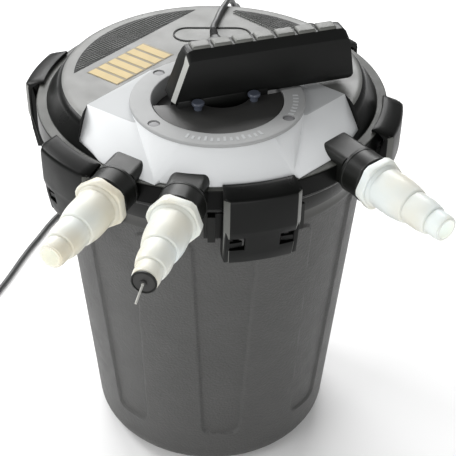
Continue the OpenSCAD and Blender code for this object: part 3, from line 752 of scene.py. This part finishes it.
# ---------- what lies on the lid ----------
def add_vents():
    turn = turned(PATTERN_TURN)
    limit = LID_FLAT_R - 6.5
    for name, az, dist in (("left", 140.0, 104.0), ("right", 46.0, 108.0)):
        nx, ny = math.cos(math.radians(az)), math.sin(math.radians(az))
        half = math.degrees(math.acos(dist / limit))
        outline = circle(limit, 40, start=az - half, end=az + half)
        if name == "right":
            outline = [p for p in outline if p[0] > 22 or p[1] < 100]
        make(f"vent_{name}_field", *prism(outline, LID_Z + 0.02, LID_Z + 0.3), "vent_dark",
             matrix=turn)
        verts, faces = [], []
        for row in range(-60, 61):
            for col in range(-32, 33):
                x = (col + 0.5 * (row % 2)) * 5.0
                y = row * 2.4
                if math.hypot(x, y) > limit - 2.2 or x * nx + y * ny < dist + 2.0:
                    continue
                if name == "right" and x < 24:
                    continue
                base = len(verts)
                for lx, ly, lz in ((-1.9, 0, 0), (-1.2, -0.75, 0), (1.2, -0.75, 0), (1.9, 0, 0),
                                   (1.2, 0.75, 0), (-1.2, 0.75, 0), (-1.5, 0, 0.5),
                                   (-1.0, -0.45, 0.5), (1.0, -0.45, 0.5), (1.5, 0, 0.5),
                                   (1.0, 0.45, 0.5), (-1.0, 0.45, 0.5)):
                    verts.append((x + lx, y + ly, LID_Z + 0.29 + lz))
                faces.append(tuple(base + 6 + k for k in range(6)))
                faces += [(base + k, base + (k + 1) % 6, base + 6 + (k + 1) % 6, base + 6 + k)
                          for k in range(6)]
        obj = make(f"vent_{name}_studs", verts, faces, "vent_grey", matrix=turn)
        if name == "left":
            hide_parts("vent_panels")


def add_label():
    a, b, d = Vector((-127, 7)), Vector((-67, 66)), Vector((-97, -21))
    along, across = b - a, d - a
    def quad(u0, u1, v0, v1):
        return [tuple(a + along * u + across * v) for u, v in
                ((u0, v0), (u1, v0), (u1, v1), (u0, v1))]
    make("label_base", *prism(quad(0, 1, 0, 1)[::-1], LID_Z + 0.02, LID_Z + 0.3), "label_bar",
         replaces=("label_plate",))
    bars = 6
    for k in range(bars):
        u0 = (k + 0.07) / bars
        u1 = (k + 0.8) / bars
        make(f"label_stripe_{k + 1}", *prism(quad(u0, u1, 0.03, 0.97)[::-1], LID_Z + 0.28,
                                             LID_Z + 0.55), "label_film")


def stadium(half_w, half_h, count=20):
    return (circle(half_h, count, (half_w - half_h, 0), -90, 90)
            + circle(half_h, count, (half_h - half_w, 0), 90, 270))


def add_badge():
    place = turned(PATTERN_TURN) @ Matrix.Translation((0, 80, 0))
    outer, inner = stadium(42, 16), stadium(40.4, 14.4)
    n = len(outer)
    z0, z1 = LID_Z - 0.2, LID_Z + 0.9
    verts = [(x, y, z) for loop in (outer, inner) for z in (z0, z1) for x, y in loop]
    faces = []
    for k in range(n):
        k2 = (k + 1) % n
        faces += [(k, k2, n + k2, n + k), (2 * n + k, 3 * n + k, 3 * n + k2, 2 * n + k2),
                  (n + k, n + k2, 3 * n + k2, 3 * n + k)]
    make("badge_outline", verts, faces, "vent_dark", matrix=place, replaces=("badge_plate",))


add_vents()
add_label()
add_badge()


# ---------- dial and handle ----------
def add_dial():
    plate = [(0, DIAL_Z - 4), (DIAL_R - 0.6, DIAL_Z - 4), (DIAL_R, DIAL_Z - 3.4),
             (DIAL_R, DIAL_Z - 0.6), (DIAL_R - 0.6, DIAL_Z), (0, DIAL_Z)]
    make("dial_plate", *lathe(plate, 120), "dial_black", "selector", VALVE,
         replaces=("dial",))
    # raised part: a disc cut off along the blade, with a finger recess in front of the blade
    chord = [(math.sqrt((DIAL_R - 0.2) ** 2 - 36), -6.0)]
    left = [(-math.sqrt((DIAL_R - 0.2) ** 2 - 49), 7.0), (-42, 2), (-42, -6)]
    a0 = math.degrees(math.atan2(left[0][1], left[0][0]))
    a1 = 360 + math.degrees(math.atan2(chord[0][1], chord[0][0]))
    outline = circle(DIAL_R - 0.2, 90, start=a0, end=a1) + left[:0:-1]
    front = make("dial_front", *prism(outline, DIAL_Z - 1, RING_Z - 1.2), "dial_black",
                 "selector", VALVE)
    cut = make("cut", *cylinder(RECESS_R, DIAL_Z + 0.05, RING_Z + 5, RECESS_POS), "dial_black",
               matrix=VALVE)
    carve(front, cut)
    discard(cut)
    bevelled(front, 1.3, 3)


def corner(x, z, r, y0, y1):
    """Points on the two rims of a rounded corner seen from the side."""
    return [(x + a, y, z + b) for a, b in circle(r, 24) for y in (y0, y1)]


def add_handle():
    foot, top = RING_Z + 2.5, HANDLE_Z - 2.5
    left, right = -HANDLE_SHORT, HANDLE_LONG
    points = corner(left + 4.5, foot + 2, 2, -6, 20) + corner(left + 2, foot + 2, 2, 0.5, 22) \
        + corner(right - 5, foot + 5, 5, -6, 22) + corner(left + 22, top - 14, 6, -5.5, 18) \
        + corner(left + 19, top - 14, 6, 0.5, 20) + corner(right - 11, top - 14, 6, -5.5, 20) \
        + corner(left + 23, top - 8, 8, 2, 17) + corner(right - 14, top - 8, 8, 2, 17)
    blade = make("handle_blade", *hull(points), "handle_black", "selector", VALVE,
                 replaces=("handle",))
    bevelled(blade, 0.9, 2, 12)
    end = VALVE.to_3x3() @ Vector((-1, 0, 0))
    facing = VALVE.to_3x3() @ Vector((-0.92, -0.36, 0.1)).normalized()
    # painted shade: the blade's end faces take a less glossy black
    second_material(blade, "vent_dark", lambda c, n: n.dot(end) > 0.9)
    # painted highlight: the chamfer facing the light takes a light grey
    second_material(blade, "facet_grey", lambda c, n: n.dot(facing) > 0.96 and n.dot(end) < 0.95)
    root = make("handle_root", *hull([(x, y, z) for x in (-42, 50) for y in (-6.4, 21)
                                      for z in (DIAL_Z - 0.5, foot + 3)]),
                "handle_black", "selector", VALVE)
    bevelled(root, 1.0, 2)
    verts, faces = [], []
    for k in range(GRIP_COUNT):
        x0 = GRIP_START + GRIP_PITCH * k
        base = len(verts)
        box_v, box_f = hull([(x, y, z) for x in (x0, x0 + GRIP_WIDTH) for y in (2.5, 16)
                             for z in (HANDLE_Z - 4, HANDLE_Z - 0.8)]
                            + [(x, y, HANDLE_Z + 0.4) for x in (x0 + 1.2, x0 + GRIP_WIDTH - 1.2)
                               for y in (3.8, 14.8)])
        verts += box_v
        faces += [tuple(base + i for i in f) for f in box_f]
    grips = make("handle_grip_blocks", verts, faces, "grip_grey", "selector", VALVE,
                 replaces=("handle_grips",))
    bevelled(grips, 0.5, 2)
    for k, x in enumerate(BUTTON_X):
        name = ("left", "right")[k]
        button = [(0, RING_Z + 7.2), (4.6, RING_Z + 7.2)] \
            + arc(4.8, RING_Z + 5.8, 1.4, 90, 0, 4) \
            + [(6.2, RING_Z + 4.4), (5.6, RING_Z + 3.6), (4.0, RING_Z + 3.4), (4.0, RING_Z - 8)]
        make(f"lock_{name}_head", *lathe(button, 40), "button_slate", f"button_{name}",
             VALVE @ Matrix.Translation((x, BUTTON_Y, 0)), replaces=(f"lock_button_{name}",))


add_dial()
add_handle()


# ---------- ports ----------
def hose_step(r, t0, seat, t1, nose):
    """Profile of one step: a straight seat from t0, then a rounded nose down to t1."""
    start = t0 + seat
    curve = [(r - nose * f ** 1.9, start + (t1 - start) * f) for f in (0.2, 0.4, 0.6, 0.8, 0.95)]
    return [(r - 0.6, t0 - 0.3), (r, t0 + 0.4), (r, start)] + curve + [(r - nose - 0.9, t1)]


def add_ports():
    for name in PORTS:
        place = port_matrix(name)
        nut = [(18.1, -31), (21.8, -31), (22.7, -30.4), (23, -29.6), (23, -27.4), (22.5, -26.8),
               (22.6, -9.8), (23.4, -9.2), (23.5, -8.6), (23.5, -6.8), (22.9, -5.9), (22, -5.5),
               (16.4, -5.5)]
        make(f"union_nut_{name}", *lathe(nut, 96), "housing_black", f"nut_{name}", place,
             replaces=(f"nut_{name}",))
        hexagon = make(f"tail_hex_{name}", *prism(circle(27.2, 6), -5, 4), "tail_milky",
                       matrix=place @ turned(HEX_TURN[name]))
        round_off = make("round", *cylinder(HEX_ROUND_R, -8, 8), "tail_milky", matrix=place)
        carve(hexagon, round_off, "INTERSECT")
        discard(round_off)
        bevelled(hexagon, 1.4, 3)
        profile = [(9, -11), (17, -11), (17, -8), (15.8, -8), (15.8, -4), (21.6, -4), (21.6, 4),
                   (21.2, 5.2), (20.6, 6)] + hose_step(20, 8, 17.5, 45.5, 2.8) \
            + hose_step(16, 46, 12.5, 71.5, 2.0) + hose_step(12.5, 72, 10, 87.2, 0.8) \
            + [(10.4, 88), (9, 88)]
        tail = make(f"hose_tail_{name}", *lathe(profile + profile[:1], 72), "tail_milky",
                    matrix=place, replaces=(f"tail_{name}",))
        back = place.inverted()
        # painted light: faces in the bore glow brighter
        second_material(tail, "tail_bore", lambda c, n: (back @ c).to_2d().length < 9.2)
    place = port_matrix("middle")
    plug = [(9, 74), (9, 88), (10.8, 88), (11.6, 88.6), (11.6, 90), (11.0, 90.5), (10.0, 90.5),
            (9.6, 89.8), (3.2, 89.8), (2.6, 91.4), (0, 91.6)]
    cap = make("blanking_plug", *lathe(plug, 64), "housing_black", matrix=place,
               replaces=("end_plug",))
    middle = place @ Vector((0, 0, 90))
    second_material(cap, "dial_black", lambda c, n: (c - middle).length < 8)


add_ports()


# ---------- latches ----------
def latch_shell(outer, inner, half, flank=1.7, drop=4.0, steps=12):
    """Shell between two profiles, with the outer face falling away at both sides."""
    azimuths = [-half] + [-half + flank + 2 * (half - flank) * k / steps
                          for k in range(steps + 1)] + [half]
    rows = len(outer) + len(inner)
    verts, faces = [], []
    for az in azimuths:
        low = drop if abs(az) == half else 0.0
        verts += [tuple(polar(az, r - low, z)) for r, z in outer]
        verts += [tuple(polar(az, r, z)) for r, z in inner]
    for i in range(len(azimuths) - 1):
        a, b = i * rows, (i + 1) * rows
        faces += [(a + k, b + k, b + (k + 1) % rows, a + (k + 1) % rows) for k in range(rows)]
    last = (len(azimuths) - 1) * rows
    faces += [tuple(range(rows)), tuple(last + k for k in reversed(range(rows)))]
    return verts, faces


def add_latches():
    top = FLANGE_Z + 4
    outer = [(181, top), (190, top - 3.2)] + arc(191.5, top - 9, 5, 70, 5, 5) \
        + [(196.5, 400), (196.2, 380), (195.6, 377.4), (193.6, 371), (190, 350),
           (187.8, 339.6), (187.4, 339)]
    inner = [(183.3, 339), (185.8, 350), (190.3, 374), (190.8, 400), (189.8, 411),
             (182, FLANGE_Z + 0.9), (175, FLANGE_Z + 1), (175, top - 0.8), (175.8, top)]
    for k, az in enumerate(LATCH_AZ):
        place, body = turned(az), f"latch_{k + 1}"
        shell = make(f"latch_shell_{k + 1}", *latch_shell(outer, inner, LATCH_HALF),
                     "latch_black", body, place, replaces=(body,))
        for s in (-1, 1):
            slot = hull([(s * 25 + x, y, z) for x in (-8, 8) for y in (-215, -183)
                         for z in (356, 371)])
            taper = hull([(s * x, y, z) for y in (-215, -186) for x, z in
                          ((39.5, 376), (31.5, 335), (60, 376), (60, 335))])
            for shape in (slot, taper):
                cut = make("cut", *shape, "latch_black", matrix=place)
                carve(shell, cut)
                discard(cut)
        bevelled(shell, 0.6, 2)
        out = place.to_3x3() @ Vector((0, -1, 0))
        # painted shade: the latch tops take the darker, less glossy lid black
        second_material(shell, "lid_black", lambda c, n: n.z > 0.5)
        # painted highlight: flank faces turned partly outwards take a lighter grey
        second_material(shell, "latch_edge",
                        lambda c, n: 0.25 < n.dot(out) < 0.8 and abs(n.z) < 0.45)
        for s in (-1, 1):
            cheek = make(f"latch_cheek_{k + 1}_{s + 2}", *hull(
                [(s * x, -y, z) for x in (31.2, 35.8) for y, z in
                 ((171.5, 343), (178, 340.5), (185, 340), (189, 362), (190.4, 375),
                  (190.4, 416), (185.5, 416), (183, 380), (171.5, 354))]),
                "latch_black", body, place)
            bevelled(cheek, 0.8, 2)
            make(f"latch_pad_{k + 1}_{s + 2}", *hull(
                [(s * 25 + x, -y, z) for x in (-6, 6) for y, z in
                 ((187.2, 358), (184, 358), (188.4, 364), (185, 364))]), "latch_black", body,
                 place)


add_latches()


# ---------- CAD nodes that stay as they are ----------
KEPT = {
    "latch_brackets": "housing_black", "latch_pins": "pin_steel", "lid_seal": "seal_rubber",
    "valve_body": "housing_black", "valve_rotor": "media_black", "port_gaskets": "seal_rubber",
    "plug_pull": "pull_wire", "lamp_holder": "housing_black", "sleeve_seal": "seal_rubber",
    "quartz_sleeve": "quartz", "uvc_lamp": "lamp_white", "lamp_guard": "media_black",
    "inlet_tube": "media_black", "foam_coarse": "foam_blue", "foam_fine": "foam_red",
    "media_basket": "media_black", "media_balls": "media_black", "base_grid": "media_black",
    "cable_gland": "housing_black"}
for node_name, mat_name in KEPT.items():
    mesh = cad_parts[node_name].data
    mesh.materials.clear()
    mesh.materials.append(MATS[mat_name])


# ---------- floor, light and world ----------
def add_stage():
    size = 6.0
    mesh = bpy.data.meshes.new("floor")
    mesh.from_pydata([(-size, -size, 0), (size, -size, 0), (size, size, 0), (-size, size, 0)],
                     [], [(0, 1, 2, 3)])
    floor = bpy.data.objects.new("floor", mesh)
    SCENE.collection.objects.link(floor)
    n = Nodes("floor")
    cloud = n.noise(2.0, 2.0)
    ramp = n.ramp(cloud, "Fac", 0.3, 0.7, (0.9, 0.9, 0.9, 1), (0.94, 0.94, 0.94, 1))
    n.link(ramp, "Color", n.bsdf, "Base Color")
    n.bsdf.inputs["Roughness"].default_value = 0.9
    n.bsdf.inputs["Specular IOR Level"].default_value = 0.1
    mesh.materials.append(n.mat)
    world = bpy.data.worlds.new("world")
    world.use_nodes = True
    sky = world.node_tree.nodes["Background"]
    sky.inputs["Color"].default_value = (1, 1, 1, 1)
    sky.inputs["Strength"].default_value = 0.42
    SCENE.world = world
    SCENE.view_settings.view_transform = "Standard"


def area_light(name, place, target, size, power, colour=(1, 1, 1)):
    data = bpy.data.lights.new(name, "AREA")
    data.shape = "RECTANGLE"
    data.size, data.size_y = size
    data.energy = power
    data.color = colour
    obj = bpy.data.objects.new(name, data)
    SCENE.collection.objects.link(obj)
    obj.location = place
    direction = Vector(target) - Vector(place)
    obj.rotation_euler = direction.to_track_quat("-Z", "Y").to_euler()
    obj.visible_camera = False


add_stage()
area_light("back_softbox", (0.0, 2.2, 1.9), (0, 0, 0.3), (2.4, 1.4), 78)
area_light("key_back_left", (-1.5, 1.1, 1.6), (0, 0, 0.3), (0.8, 0.8), 26)
area_light("key_left", (-1.9, -1.0, 1.2), (0, 0, 0.2), (1.4, 1.6), 20)
area_light("front_fill", (0.1, -2.4, 0.9), (0, 0, 0.3), (1.8, 1.4), 21)
